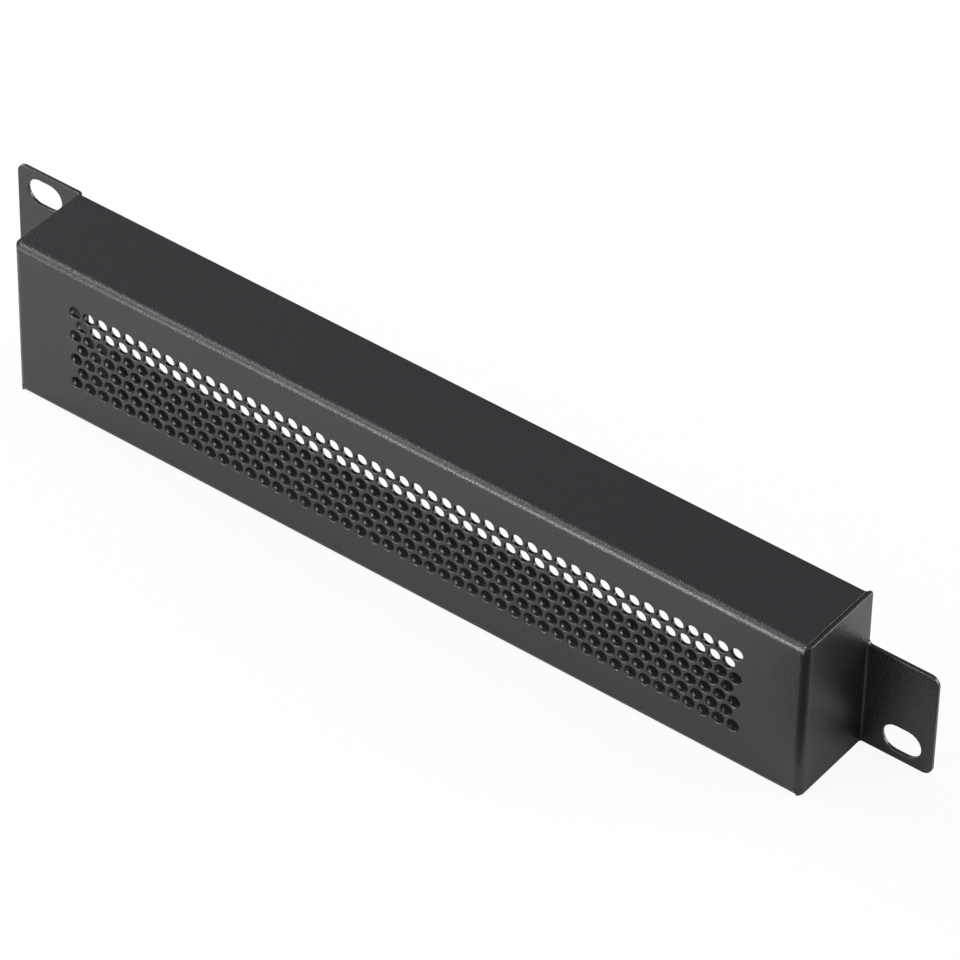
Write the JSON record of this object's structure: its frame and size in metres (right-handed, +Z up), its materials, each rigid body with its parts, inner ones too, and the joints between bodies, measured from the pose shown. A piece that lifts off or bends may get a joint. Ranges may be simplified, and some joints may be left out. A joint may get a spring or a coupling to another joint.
{
  "type": "perforated rack panel",
  "caption": "Folded sheet-metal vent panel for a narrow equipment rack, with a perforated face, tray-shaped sides and two offset slotted ears.",
  "frame": {"origin": "under the middle of the panel, on the plane of the bottom flange's outer face, half-way between the face and the rear of the ears", "axes": "+X along the rack's width to the right as seen from the front, +Y to the rear, +Z up"},
  "size_m": [0.254, 0.024, 0.043],
  "materials": {
    "powder_coat": "black semi-gloss powder coat with a fine texture on steel sheet"
  },
  "bodies": {
    "root": {"vent_panel": "powder_coat"}
  },
  "joints": []
}
